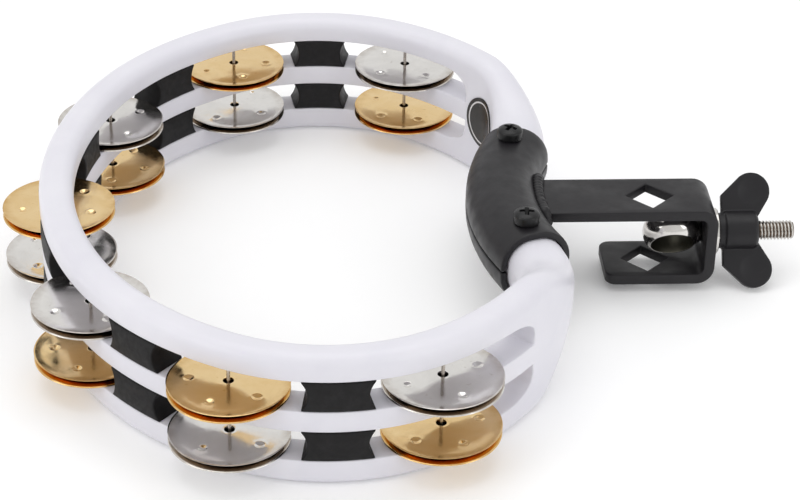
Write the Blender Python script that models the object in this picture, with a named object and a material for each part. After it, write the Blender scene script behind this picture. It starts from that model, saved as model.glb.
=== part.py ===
"""Mountable two-row tambourine: moulded frame, jingle pairs on pins, and a rod clamp.

World axes: the frame lies flat on z = 0 with +Z up, the handle and its clamp point along +X,
and the origin is below the middle of the object's box. Lengths are in metres.
"""
import math

import bmesh
import bpy
from mathutils import Matrix, Vector

MM = 0.001

# --- frame outline: arcs of the wall's middle line, from the left end round to the handle ---
LEFT_X = -123.7 * MM
LEFT_ARCS = ((146.6 * MM, 26.06), (111.8 * MM, 35.1), (68.5 * MM, 60.6))   # radius, turn in degrees
SHOULDER_R = 98.0 * MM
CORNER_R = 48.0 * MM
HANDLE_BOW_R = 95.0 * MM
HANDLE_X = 36.0 * MM               # middle of the handle

# --- frame sections ---
FRAME_H = 48.5 * MM
WALL_W = 12.0 * MM
WALL_TOP_R = 4.6 * MM
WALL_BOTTOM_R = 3.4 * MM
HANDLE_W = 20.5 * MM
HANDLE_H = 22.0 * MM
HANDLE_Z = 27.3 * MM
HANDLE_R = 8.8 * MM
WALL_WIDENS_FROM = 80.0 * MM       # distances along the middle line from the handle's middle
WALL_WIDENS_TO = 48.0 * MM
TOP_DROPS_FROM = 86.0 * MM
TOP_DROPS_TO = 50.0 * MM

# --- the two jingle openings ---
SLOT_H = 11.2 * MM
SLOT_Z = (9.6 * MM, 28.6 * MM)     # floors of the lower and the upper opening
SLOT_HALF = 244.5 * MM             # along the middle line, from the left end
SLOT_END_LENGTH = 13.0 * MM         # the openings narrow over this length at each end
SLOT_END_DROP = 7.0 * MM
ROW_NAMES = ("bottom", "top")

# --- jingles, pins and posts ---
JINGLE_S = (0.0, 67.0 * MM, 135.5 * MM, 207.5 * MM)   # places along the middle line, each way
PIN_R = 0.6 * MM
PIN_HOLE_R = 0.9 * MM
PIN_TOP_Z = 44.5 * MM
DISC_R = 20.0 * MM
DISC_HOLE_R = 1.8 * MM
DISC_T = 0.55 * MM
DISC_LIP_IN = 1.8 * MM
DISC_LIP_H = 0.6 * MM
PAIR_GAP = 1.0 * MM
DISC_CLEAR = 0.05 * MM
DISC_SEGMENTS = 20
POST_TOP_HALF = 11.2 * MM
POST_WAIST_HALF = 9.1 * MM
POST_PROUD = 0.5 * MM
POST_GAP = 0.12 * MM

# --- clamp ---
GAP = 0.3 * MM
SHELL_T = 2.4 * MM
SADDLE_HALF = 40.5 * MM
SCREW_Y = 31.0 * MM
SCREW_R = 2.5 * MM
SCREW_HOLE_R = 2.8 * MM
SCREW_HEAD_R = 4.7 * MM
SCREW_HEAD_H = 4.4 * MM
ARM_W = 25.0 * MM
ARM_T = 4.0 * MM
ARM_TOP_Z = 33.4 * MM
ARM_START_X = 50.2 * MM
ARM_END_X = 113.5 * MM
LEG_END_X = 73.9 * MM
LEG_BOTTOM_Z = 2.8 * MM
BEND_R = 6.5 * MM                  # outside radius of the arm's bends
DIAMOND_X = 89.6 * MM
DIAMOND_HALF = 8.8 * MM
BOLT_Z = 18.1 * MM
BOLT_R = 3.6 * MM
BOLT_HOLE_R = 3.75 * MM
BOLT_END_X = 143.7 * MM
EYE_R = 10.5 * MM
EYE_HOLE_R = 7.7 * MM
EYE_HALF_H = 5.2 * MM
EYE_TURN = math.radians(-55.0)
WASHER_R = 8.5 * MM
WASHER_T = 1.5 * MM
HUB_R = 7.2 * MM
HUB_END_X = 130.3 * MM
WING_T = 3.0 * MM
WING_TURN = math.radians(-37.0)
WING_ROOT = 3.8 * MM                # from the arm's web to the wings' near edge
WING_LOBE = (128.6 * MM, 14.4 * MM, 6.9 * MM)   # x, distance from the axis, radius
LABEL_S = 256.8 * MM
LABEL_Z = 24.3 * MM
LABEL_HALF = (10.6 * MM, 10.6 * MM)
LABEL_T = 0.35 * MM
LABEL_LIFT = 0.25 * MM


def clear_scene():
    for obj in list(bpy.data.objects):
        bpy.data.objects.remove(obj, do_unlink=True)


def material(name, colour, metallic, roughness):
    mat = bpy.data.materials.new(name)
    mat.use_nodes = True
    shader = mat.node_tree.nodes["Principled BSDF"]
    shader.inputs["Base Color"].default_value = (*colour, 1.0)
    shader.inputs["Metallic"].default_value = metallic
    shader.inputs["Roughness"].default_value = roughness
    return mat


def add_object(name, bm, mat, smooth_angle=None, outward=True):
    """Turn a bmesh into an object whose faces point out."""
    if outward:
        bmesh.ops.recalc_face_normals(bm, faces=bm.faces[:])
    mesh = bpy.data.meshes.new(name)
    bm.to_mesh(mesh)
    bm.free()
    if smooth_angle is not None:
        mesh.shade_smooth()
        mesh.set_sharp_from_angle(angle=math.radians(smooth_angle))
    if mat is not None:
        mesh.materials.append(mat)
    obj = bpy.data.objects.new(name, mesh)
    bpy.context.collection.objects.link(obj)
    return obj


def as_cutter(obj):
    obj.hide_render = True
    obj.display_type = "WIRE"
    return obj


def boolean(obj, other, operation):
    mod = obj.modifiers.new(operation.title(), "BOOLEAN")
    mod.operation = operation
    mod.solver = "EXACT"
    mod.object = other


def smoothstep(start, end, value):
    t = min(max((value - start) / (end - start), 0.0), 1.0)
    return t * t * (3.0 - 2.0 * t)


def mix(a, b, t):
    return a + (b - a) * t


# ---------------------------------------------------------------- outline

def tangent_corner(shoulder, bow):
    """Middle of the corner arc that touches the shoulder arc inside and the handle's bow outside."""
    r1 = SHOULDER_R - CORNER_R
    r2 = HANDLE_BOW_R + CORNER_R
    line = bow - shoulder
    dist = line.length
    along = (r1 * r1 - r2 * r2 + dist * dist) / (2.0 * dist)
    across = math.sqrt(r1 * r1 - along * along)
    unit = line / dist
    return shoulder + unit * along + Vector((-unit.y, unit.x)) * across


def outline_arcs():
    """Arcs of half the middle line: centre, radius, start angle, signed turn (all radians)."""
    arcs = []
    centre = Vector((LEFT_X + LEFT_ARCS[0][0], 0.0))
    angle = math.pi
    radius = LEFT_ARCS[0][0]
    for next_radius, turn in LEFT_ARCS:
        direction = Vector((math.cos(angle), math.sin(angle)))
        centre = centre + direction * (radius - next_radius)
        radius = next_radius
        arcs.append((centre.copy(), radius, angle, -math.radians(turn)))
        angle -= math.radians(turn)
    direction = Vector((math.cos(angle), math.sin(angle)))
    shoulder = centre + direction * (radius - SHOULDER_R)
    bow = Vector((HANDLE_X + HANDLE_BOW_R, 0.0))
    corner = tangent_corner(shoulder, bow)
    out = corner - shoulder
    corner_angle = math.atan2(out.y, out.x)
    arcs.append((shoulder, SHOULDER_R, angle, corner_angle - angle))
    to_bow = bow - corner
    bow_angle = math.atan2(to_bow.y, to_bow.x)
    arcs.append((corner, CORNER_R, corner_angle, bow_angle - corner_angle))
    start = math.pi + bow_angle
    arcs.append((bow, HANDLE_BOW_R, start, math.pi - start))
    return arcs


ARCS = outline_arcs()
HALF_LENGTH = sum(radius * abs(turn) for _, radius, _, turn in ARCS)


def on_outline(s):
    """Point on the middle line and the outward normal there, s metres from the left end."""
    rest = min(abs(s), HALF_LENGTH)
    for centre, radius, start, turn in ARCS:
        length = radius * abs(turn)
        if rest <= length or centre is ARCS[-1][0]:
            angle = start + turn * rest / length
            radial = Vector((math.cos(angle), math.sin(angle)))
            point = centre + radial * radius
            normal = radial if turn < 0.0 else -radial
            break
        rest -= length
    if s < 0.0:
        point.y = -point.y
        normal.y = -normal.y
    return point, normal


def wall_point(s, out, z):
    point, normal = on_outline(s)
    flat = point + normal * out
    return Vector((flat.x, flat.y, z))


# ---------------------------------------------------------------- sections

def wall_size(s):
    """Width, bottom, top and corner radii of the frame's section at s."""
    from_handle = HALF_LENGTH - abs(s)
    widen = smoothstep(WALL_WIDENS_FROM, WALL_WIDENS_TO, from_handle)
    drop = smoothstep(TOP_DROPS_FROM, TOP_DROPS_TO, from_handle)
    width = mix(WALL_W, HANDLE_W, widen)
    bottom = mix(0.0, HANDLE_Z - HANDLE_H / 2.0, drop)
    top = mix(FRAME_H, HANDLE_Z + HANDLE_H / 2.0, drop)
    top_r = min(mix(WALL_TOP_R, HANDLE_R, max(widen * 0.6, drop)), width * 0.45)
    bottom_r = min(mix(WALL_BOTTOM_R, HANDLE_R, max(widen * 0.6, drop)), width * 0.45)
    return width, bottom, top, top_r, bottom_r


def rounded_section(width, bottom, top, top_r, bottom_r, steps=3):
    """Points (out, z) round a rounded rectangle, from the outer side over the top."""
    half = width / 2.0
    corners = ((half - bottom_r, bottom + bottom_r, bottom_r, -90.0),
               (half - top_r, top - top_r, top_r, 0.0),
               (top_r - half, top - top_r, top_r, 90.0),
               (bottom_r - half, bottom + bottom_r, bottom_r, 180.0))
    points = []
    for out, z, radius, start in corners:
        for k in range(steps + 1):
            angle = math.radians(start + 90.0 * k / steps)
            points.append((out + radius * math.cos(angle), z + radius * math.sin(angle)))
    return points


def loft(rings, closed):
    """Skin a list of point rings; a closed loft joins the last ring to the first."""
    bm = bmesh.new()
    loops = [[bm.verts.new(p) for p in ring] for ring in rings]
    count = len(loops[0])
    pairs = list(zip(loops, loops[1:]))
    if closed:
        pairs.append((loops[-1], loops[0]))
    for a, b in pairs:
        for k in range(count):
            n = (k + 1) % count
            bm.faces.new((a[k], a[n], b[n], b[k]))
    if not closed:
        bm.faces.new(loops[0])
        bm.faces.new(loops[-1])
    return bm


def spread(start, end, count):
    return [mix(start, end, k / count) for k in range(count + 1)]


def wall_stations():
    """Places along half the middle line, closer together where the section changes."""
    return spread(0.0, SLOT_HALF, 25) + spread(SLOT_HALF, HALF_LENGTH, 19)[1:]


def make_ring(mat):
    half = wall_stations()
    stations = [-s for s in reversed(half[1:])] + half[:-1]
    rings = []
    for s in stations:
        section = rounded_section(*wall_size(s))
        rings.append([wall_point(s, out, z) for out, z in section])
    ring = add_object("frame_ring", loft(rings, True), mat, 35)
    for row, floor in zip(ROW_NAMES, SLOT_Z):
        boolean(ring, make_slot_cutter(f"slot_cutter_{row}", floor), "DIFFERENCE")
    boolean(ring, make_hole_cutter(), "DIFFERENCE")
    return ring


def make_slot_cutter(name, floor):
    """Long opening through the wall; its edge away from the middle band rounds off at the ends."""
    straight = spread(13.0 * MM, SLOT_HALF - SLOT_END_LENGTH - 4.0 * MM, 8)
    ends = [SLOT_HALF - SLOT_END_LENGTH * (1.0 - math.sin(math.radians(a))) for a in (0, 30, 60, 80)]
    half = straight + ends
    stations = [-s for s in reversed(half)] + half
    reach = WALL_W / 2.0 + 5.0 * MM
    rings = []
    for s in stations:
        into_end = max(abs(s) - (SLOT_HALF - SLOT_END_LENGTH), 0.0) / SLOT_END_LENGTH
        trim = SLOT_END_DROP * (1.0 - math.sqrt(1.0 - into_end ** 2))
        upper_row = floor == SLOT_Z[1]
        low = floor + (0.0 if upper_row else trim)
        high = floor + SLOT_H - (trim if upper_row else 0.0)
        rings.append([wall_point(s, out, z) for out, z in
                      ((reach, low), (reach, high), (-reach, high), (-reach, low))])
    return as_cutter(add_object(name, loft(rings, False), None))


def add_prism(bm, centre, radius, low, high, sides, phase=0.0):
    """Upright closed prism; phase turns it by that part of one side."""
    circle = [2.0 * math.pi * (k + phase) / sides for k in range(sides)]
    loops = []
    for z in (low, high):
        loops.append([bm.verts.new((centre[0] + radius * math.cos(a),
                                    centre[1] + radius * math.sin(a), z)) for a in circle])
    for k in range(sides):
        n = (k + 1) % sides
        bm.faces.new((loops[0][k], loops[0][n], loops[1][n], loops[1][k]))
    bm.faces.new(loops[0])
    bm.faces.new(loops[1])


def screw_places():
    """Plan positions of the two clamp screws, on the handle's bow."""
    x = HANDLE_X + HANDLE_BOW_R - math.sqrt(HANDLE_BOW_R ** 2 - SCREW_Y ** 2)
    return ((x, -SCREW_Y), (x, SCREW_Y))


def make_hole_cutter():
    """Pin holes through the lower bands into the top band, and the handle's screw holes."""
    bm = bmesh.new()
    for s in jingle_places():
        point, _ = on_outline(s)
        add_prism(bm, point, PIN_HOLE_R, -MM, PIN_TOP_Z + GAP, 8, 0.5)
    for place in screw_places():
        add_prism(bm, place, SCREW_HOLE_R, 0.0, FRAME_H, 16, 0.5)
    return as_cutter(add_object("hole_cutter", bm, None))


def jingle_places():
    """Places of the seven pins, from the front round the left end to the back."""
    return [-s for s in reversed(JINGLE_S[1:])] + list(JINGLE_S)


# ---------------------------------------------------------------- posts, pins, jingles

def make_posts(mat):
    """Hourglass posts that part neighbouring jingles in each row."""
    places = jingle_places()
    height = SLOT_H - 2.0 * POST_GAP
    flare = POST_TOP_HALF - POST_WAIST_HALF
    end_r = ((height / 2.0) ** 2 + flare ** 2) / (2.0 * flare)
    for row, floor in enumerate(SLOT_Z):
        for number, (a, b) in enumerate(zip(places, places[1:]), start=1):
            middle = (a + b) / 2.0
            rings = []
            for z in spread(-height / 2.0, height / 2.0, 6):
                half = POST_WAIST_HALF + end_r - math.sqrt(end_r ** 2 - z ** 2)
                out = WALL_W / 2.0 + POST_PROUD
                z_world = floor + SLOT_H / 2.0 + z
                ring = [wall_point(middle + half * t, out, z_world) for t in (-1, 0, 1)]
                ring += [wall_point(middle + half * t, -out, z_world) for t in (1, 0, -1)]
                rings.append(ring)
            name = f"post_{ROW_NAMES[row]}_{number}"
            add_object(name, loft(rings, False), mat, 35)


def make_pins(mat):
    for number, s in enumerate(jingle_places(), start=1):
        point, _ = on_outline(s)
        bm = bmesh.new()
        add_prism(bm, (0.0, 0.0), PIN_R, 0.5 * MM, PIN_TOP_Z, 8)
        pin = add_object(f"pin_{number}", bm, mat, 50)
        pin.location = (point.x, point.y, 0.0)


def turned(profile, segments):
    """Closed solid turned round Z from a closed loop of (radius, z) points."""
    bm = bmesh.new()
    loops = []
    for k in range(segments):
        angle = 2.0 * math.pi * k / segments
        loops.append([bm.verts.new((r * math.cos(angle), r * math.sin(angle), z))
                      for r, z in profile])
    count = len(profile)
    for k in range(segments):
        a = loops[k]
        b = loops[(k + 1) % segments]
        for j in range(count):
            n = (j + 1) % count
            bm.faces.new((a[j], b[j], b[n], a[n]))
    return bm


def disc_mesh(name, upper, mat):
    """Thin disc with a lip turned away from its partner; z = 0 is its inner face."""
    side = 1.0 if upper else -1.0
    flat = DISC_R - DISC_LIP_IN
    profile = [(DISC_HOLE_R, 0.0), (flat, 0.0), (DISC_R, side * DISC_LIP_H),
               (DISC_R, side * (DISC_LIP_H + DISC_T)), (flat, side * DISC_T),
               (DISC_HOLE_R, side * DISC_T)]
    bm = turned(profile, DISC_SEGMENTS)
    bmesh.ops.recalc_face_normals(bm, faces=bm.faces[:])
    mesh = bpy.data.meshes.new(name)
    bm.to_mesh(mesh)
    bm.free()
    mesh.shade_smooth()
    mesh.set_sharp_from_angle(angle=math.radians(35))
    mesh.materials.append(mat)
    return mesh


def make_jingles(gold, silver):
    """A pair of discs on each pin in each row; gold and silver pairs alternate."""
    meshes = {}
    for tone, mat in (("gold", gold), ("silver", silver)):
        for part in ("lower", "upper"):
            meshes[tone, part] = disc_mesh(f"disc_{tone}_{part}", part == "upper", mat)
    lower_z = DISC_CLEAR + DISC_LIP_H + DISC_T
    heights = {"lower": lower_z, "upper": lower_z + PAIR_GAP}
    for row, floor in enumerate(SLOT_Z):
        for number, s in enumerate(jingle_places(), start=1):
            tone = "gold" if (number + row) % 2 else "silver"
            point, _ = on_outline(s)
            for part, height in heights.items():
                name = f"jingle_{ROW_NAMES[row]}_{number}_{part}"
                disc = bpy.data.objects.new(name, meshes[tone, part])
                disc.location = (point.x, point.y, floor + height)
                bpy.context.collection.objects.link(disc)


def make_label(mat):
    """Thin plain oval label on the inner wall near the handle."""
    sides = 20
    rings = []
    for lift in (LABEL_LIFT, LABEL_LIFT + LABEL_T):
        ring = []
        for k in range(sides):
            angle = 2.0 * math.pi * k / sides
            s = LABEL_S + LABEL_HALF[0] * math.cos(angle)
            z = LABEL_Z + LABEL_HALF[1] * math.sin(angle)
            width = wall_size(s)[0]
            ring.append(wall_point(s, -width / 2.0 - lift, z))
        rings.append(ring)
    bm = bmesh.new()
    loops = [[bm.verts.new(p) for p in ring] for ring in rings]
    for k in range(sides):
        n = (k + 1) % sides
        bm.faces.new((loops[0][k], loops[0][n], loops[1][n], loops[1][k]))
    for loop in loops:
        bm.faces.new((loop[0], loop[1], loop[-1]))
        for k in range(1, sides // 2 - 1):
            bm.faces.new((loop[k], loop[k + 1], loop[-k - 1], loop[-k]))
        bm.faces.new((loop[sides // 2 - 1], loop[sides // 2], loop[sides // 2 + 1]))
    add_object("oval_label", bm, mat, 30)


# ---------------------------------------------------------------- clamp

def handle_section(grow):
    half_h = HANDLE_H / 2.0 + grow
    return rounded_section(HANDLE_W + 2.0 * grow, HANDLE_Z - half_h, HANDLE_Z + half_h,
                           HANDLE_R + grow, HANDLE_R + grow)


def make_shell(name, upper, mat):
    """Half shell round the handle, swept along its bow."""
    outer = handle_section(GAP + SHELL_T)
    inner = handle_section(GAP)
    count = len(outer)
    quarter = count // 4
    order = range(quarter, 3 * quarter) if upper else range(3 * quarter, 5 * quarter)
    picks = [k % count for k in order]
    edge_z = HANDLE_Z + (GAP if upper else -GAP)
    first_out, last_out = outer[picks[0]][0], outer[picks[-1]][0]
    first_in, last_in = inner[picks[0]][0], inner[picks[-1]][0]
    profile = [(first_out, edge_z)] + [outer[k] for k in picks] + [(last_out, edge_z)]
    profile += [(last_in, edge_z)] + [inner[k] for k in reversed(picks)] + [(first_in, edge_z)]
    rings = []
    for offset in spread(-SADDLE_HALF, SADDLE_HALF, 10):
        s = HALF_LENGTH - abs(offset)
        sign = 1.0 if offset >= 0.0 else -1.0
        rings.append([wall_point(sign * s, out, z) for out, z in profile])
    shell = add_object(name, loft(rings, False), mat, 35)
    bm = bmesh.new()
    for place in screw_places():
        add_prism(bm, place, SCREW_HOLE_R, 0.0, FRAME_H, 16, 0.5)
    boolean(shell, as_cutter(add_object(name + "_holes", bm, None)), "DIFFERENCE")


def make_screws(mat):
    """Pan-head screws down through the saddle, the handle and the lower shell."""
    seat = HANDLE_Z + HANDLE_H / 2.0 + GAP + SHELL_T + 0.1 * MM
    tip = HANDLE_Z - HANDLE_H / 2.0 - GAP - SHELL_T - 1.0 * MM
    head = ((SCREW_HEAD_R, 0.0), (SCREW_HEAD_R, 0.45), (SCREW_HEAD_R * 0.86, 0.82),
            (SCREW_HEAD_R * 0.5, 1.0))
    for number, (x, y) in enumerate(screw_places(), start=1):
        profile = [(0.0, tip - seat), (SCREW_R, tip - seat), (SCREW_R, 0.0)]
        profile += [(r, SCREW_HEAD_H * z) for r, z in head] + [(0.0, SCREW_HEAD_H)]
        screw = add_object(f"clamp_screw_{number}", solid_of_revolution(profile, 16), mat, 40)
        screw.location = (x, y, seat)


def solid_of_revolution(profile, segments):
    """Closed solid round Z from an open outline whose two ends are on the axis."""
    bm = bmesh.new()
    start = bm.verts.new((0.0, 0.0, profile[0][1]))
    end = bm.verts.new((0.0, 0.0, profile[-1][1]))
    loops = []
    for k in range(segments):
        angle = 2.0 * math.pi * k / segments
        loops.append([bm.verts.new((r * math.cos(angle), r * math.sin(angle), z))
                      for r, z in profile[1:-1]])
    for k in range(segments):
        a = loops[k]
        b = loops[(k + 1) % segments]
        bm.faces.new((start, b[0], a[0]))
        for j in range(len(a) - 1):
            bm.faces.new((a[j], b[j], b[j + 1], a[j + 1]))
        bm.faces.new((a[-1], b[-1], end))
    return bm


def arc(centre_x, centre_z, radius, start, end, steps):
    return [(centre_x + radius * math.cos(math.radians(mix(start, end, k / steps))),
             centre_z + radius * math.sin(math.radians(mix(start, end, k / steps))))
            for k in range(steps + 1)]


def arm_profile():
    """Side outline (x, z) of the bent flat bar."""
    inner_r = BEND_R - ARM_T
    bend_x = ARM_END_X - BEND_R
    high = ARM_TOP_Z - BEND_R
    low = LEG_BOTTOM_Z + BEND_R
    outline = [(ARM_START_X, ARM_TOP_Z)]
    outline += arc(bend_x, high, BEND_R, 90.0, 0.0, 4)
    outline += arc(bend_x, low, BEND_R, 0.0, -90.0, 4)
    outline += [(LEG_END_X, LEG_BOTTOM_Z), (LEG_END_X, LEG_BOTTOM_Z + ARM_T)]
    outline += arc(bend_x, low, inner_r, -90.0, 0.0, 4)
    outline += arc(bend_x, high, inner_r, 0.0, 90.0, 4)
    outline += [(ARM_START_X, ARM_TOP_Z - ARM_T)]
    return outline


def make_arm(mat):
    outline = arm_profile()
    rings = [[(x, y, z) for x, z in outline] for y in (-ARM_W / 2.0, ARM_W / 2.0)]
    bm = loft(rings, False)
    free = [e for e in bm.edges if all(abs(v.co.x - LEG_END_X) < 1e-6 for v in e.verts)
            and abs(e.verts[0].co.z - e.verts[1].co.z) > MM]
    bmesh.ops.bevel(bm, geom=free, offset=4.0 * MM, segments=3, profile=0.5, affect="EDGES")
    arm = add_object("clamp_arm", bm, mat, 30)
    holes = bmesh.new()
    add_prism(holes, (DIAMOND_X, 0.0), DIAMOND_HALF, 0.0, FRAME_H, 4)
    boolean(arm, as_cutter(add_object("diamond_cutter", holes, None)), "DIFFERENCE")
    bolt_hole = along_x(ARM_END_X - 2.0 * ARM_T, ARM_END_X + ARM_T, BOLT_HOLE_R)
    boolean(arm, as_cutter(add_object("bolt_hole_cutter", bolt_hole, None)), "DIFFERENCE")


def along_x(start, end, radius, segments=16):
    """Closed cylinder along X on the bolt's axis."""
    bm = bmesh.new()
    add_prism(bm, (0.0, 0.0), radius, 0.0, end - start, segments)
    turn = Matrix.Translation((start, 0.0, BOLT_Z)) @ Matrix.Rotation(math.pi / 2.0, 4, "Y")
    bm.transform(turn)
    return bm


def make_eye_bolt(mat):
    """Ring with a threaded shank; the ring's hole lines up with the arm's diamonds when turned."""
    eye_x = ARM_END_X - ARM_T - GAP - EYE_R
    crown = EYE_R - 1.6 * MM
    profile = [(EYE_HOLE_R, -EYE_HALF_H + MM), (EYE_HOLE_R + MM, -EYE_HALF_H),
               (crown, -EYE_HALF_H), (EYE_R, -EYE_HALF_H * 0.45), (EYE_R, EYE_HALF_H * 0.45),
               (crown, EYE_HALF_H), (EYE_HOLE_R + MM, EYE_HALF_H), (EYE_HOLE_R, EYE_HALF_H - MM)]
    bm = turned(profile, 24)
    bm.transform(Matrix.Rotation(EYE_TURN, 4, "X"))
    bolt = add_object("eye_bolt", bm, mat, 40)
    bolt.location = (eye_x, 0.0, BOLT_Z)
    shank = along_x(eye_x + EYE_R - 2.0 * MM, BOLT_END_X, BOLT_R)
    boolean(bolt, as_cutter(add_object("shank_tool", shank, None)), "UNION")


def make_washer(mat):
    profile = [(BOLT_HOLE_R, 0.0), (WASHER_R, 0.0), (WASHER_R, WASHER_T), (BOLT_HOLE_R, WASHER_T)]
    washer = add_object("clamp_washer", turned(profile, 24), mat, 35)
    washer.rotation_euler = (0.0, math.pi / 2.0, 0.0)
    washer.location = (ARM_END_X + GAP, 0.0, BOLT_Z)


def wing_outline():
    """One wing (x, distance from the axis): upright root edge, then a round lobe."""
    lobe_x, lobe_z, lobe_r = WING_LOBE
    root_x = ARM_END_X + WING_ROOT
    outline = [(HUB_END_X - 2.5 * MM, 0.0)]
    outline += arc(lobe_x, lobe_z, lobe_r, -35.0, 125.0, 8)
    outline += [(root_x, 13.0 * MM), (root_x, 0.0)]
    return outline


def make_wing_nut(mat):
    """Round hub with two flat wings, bored for the bolt."""
    hub_x = ARM_END_X + GAP + WASHER_T + GAP
    nut = add_object("wing_nut", along_x(hub_x, HUB_END_X, HUB_R, 24), mat, 35)
    wings = bmesh.new()
    upper = wing_outline()
    outline = upper + [(x, -z) for x, z in reversed(upper[1:-1])]
    faces = []
    for side in (-0.5, 0.5):
        verts = [wings.verts.new((x, side * WING_T, z)) for x, z in outline]
        faces.append(wings.faces.new(verts))
    front, back = (list(f.verts) for f in faces)
    for k in range(len(outline)):
        n = (k + 1) % len(outline)
        wings.faces.new((front[k], front[n], back[n], back[k]))
    turn = Matrix.Translation((0.0, 0.0, BOLT_Z)) @ Matrix.Rotation(WING_TURN, 4, "X")
    wings.transform(turn)
    boolean(nut, as_cutter(add_object("wing_tool", wings, None)), "UNION")
    bore = along_x(hub_x - MM, HUB_END_X + MM, BOLT_HOLE_R)
    boolean(nut, as_cutter(add_object("bore_tool", bore, None)), "DIFFERENCE")


def main():
    clear_scene()
    white = material("white_plastic", (0.78, 0.77, 0.81), 0.0, 0.35)
    black = material("black_plastic", (0.02, 0.02, 0.022), 0.0, 0.5)
    gold = material("brass", (0.85, 0.62, 0.32), 1.0, 0.2)
    silver = material("nickel_silver", (0.82, 0.79, 0.74), 1.0, 0.2)
    wire = material("steel_wire", (0.6, 0.6, 0.6), 1.0, 0.3)
    coated = material("black_coated_steel", (0.035, 0.034, 0.036), 0.0, 0.4)
    screw = material("black_screw", (0.02, 0.02, 0.02), 0.2, 0.35)
    chrome = material("chromed_steel", (0.75, 0.73, 0.7), 1.0, 0.1)
    label = material("label_film", (0.015, 0.015, 0.015), 0.0, 0.3)
    make_ring(white)
    make_posts(black)
    make_pins(wire)
    make_jingles(gold, silver)
    make_label(label)
    make_shell("saddle_upper", True, coated)
    make_shell("saddle_lower", False, coated)
    make_screws(screw)
    make_arm(coated)
    make_eye_bolt(chrome)
    make_washer(chrome)
    make_wing_nut(coated)


main()
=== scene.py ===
"""Looks for the mountable tambourine: detailed meshes, materials, studio light and camera.

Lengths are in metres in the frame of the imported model: the instrument lies on z = 0 and its clamp
points along +X.
"""
import math

import bmesh
import bpy
from mathutils import Matrix, Vector, noise


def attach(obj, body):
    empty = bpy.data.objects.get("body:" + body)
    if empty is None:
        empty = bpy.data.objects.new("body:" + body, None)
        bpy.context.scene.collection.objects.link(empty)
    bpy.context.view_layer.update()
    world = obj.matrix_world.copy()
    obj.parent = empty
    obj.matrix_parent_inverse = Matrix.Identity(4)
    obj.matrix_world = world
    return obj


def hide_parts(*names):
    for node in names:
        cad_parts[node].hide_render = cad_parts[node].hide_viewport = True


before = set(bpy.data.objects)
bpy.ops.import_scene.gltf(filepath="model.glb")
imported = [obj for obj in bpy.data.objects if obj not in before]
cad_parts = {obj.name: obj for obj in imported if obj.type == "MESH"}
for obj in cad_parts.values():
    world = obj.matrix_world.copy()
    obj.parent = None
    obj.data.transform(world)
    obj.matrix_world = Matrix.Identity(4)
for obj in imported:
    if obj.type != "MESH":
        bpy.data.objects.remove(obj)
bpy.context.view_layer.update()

MM = 0.001

# --- frame outline: arcs of the wall's middle line, from the left end round to the handle ---
LEFT_X = -123.7 * MM
LEFT_ARCS = ((146.6 * MM, 26.06), (111.8 * MM, 35.1), (68.5 * MM, 60.6))   # radius, turn in degrees
SHOULDER_R = 98.0 * MM
CORNER_R = 48.0 * MM
HANDLE_BOW_R = 95.0 * MM
HANDLE_X = 36.0 * MM

# --- frame sections ---
FRAME_H = 48.5 * MM
WALL_W = 12.0 * MM
WALL_TOP_R = 4.6 * MM
WALL_BOTTOM_R = 3.4 * MM
HANDLE_W = 20.5 * MM
HANDLE_H = 22.0 * MM
HANDLE_Z = 27.3 * MM
HANDLE_R = 8.8 * MM
WALL_WIDENS_FROM = 80.0 * MM
WALL_WIDENS_TO = 48.0 * MM
TOP_DROPS_FROM = 86.0 * MM
TOP_DROPS_TO = 50.0 * MM
STATION_STEP = 2.6 * MM

# --- openings, jingles, pins and posts ---
SLOT_H = 11.2 * MM
SLOT_Z = (9.6 * MM, 28.6 * MM)
SLOT_HALF = 244.5 * MM
SLOT_END_LENGTH = 13.0 * MM
SLOT_END_DROP = 7.0 * MM
SLOT_EDGE = 0.45 * MM
ROW_NAMES = ("bottom", "top")
JINGLE_S = (0.0, 67.0 * MM, 135.5 * MM, 207.5 * MM)
PIN_R = 0.6 * MM
PIN_BOTTOM_Z = 0.5 * MM
PIN_TOP_Z = 44.5 * MM
DISC_R = 20.0 * MM
DISC_HOLE_R = 1.8 * MM
DISC_T = 0.8 * MM
DISC_FLAT_R = 16.9 * MM
DISC_INNER_LIP = 0.80 * MM
DISC_OUTER_LIP = 0.32 * MM
DISC_LIP_CURVE = 1.8
DISC_EDGE = 0.2 * MM
DISC_ROUNDING = 0.10 * MM
DISC_DOME_R = 10.5 * MM
DISC_DOME_H = 0.35 * MM
DISC_WAVE = 0.06 * MM
DIMPLE_AT = 12.9 * MM
DIMPLE_R = 1.6 * MM
DIMPLE_DEPTH = 0.5 * MM
DIMPLE_RIM = 0.09 * MM
DIMPLES = {"gold": 5, "silver": 4}
DISC_TURN_STEP = 47.0              # degrees from one pair to the next, and from row to row
DISC_TURN_ROW = 113.0
LOWER_DISC_LIFT = 1.25 * MM
UPPER_DISC_LIFT = 2.15 * MM
POST_TOP_HALF = 11.2 * MM
POST_WAIST_HALF = 9.1 * MM
POST_PROUD = 0.5 * MM
POST_GAP = 0.12 * MM
POST_CROWN = 0.35 * MM

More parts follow.
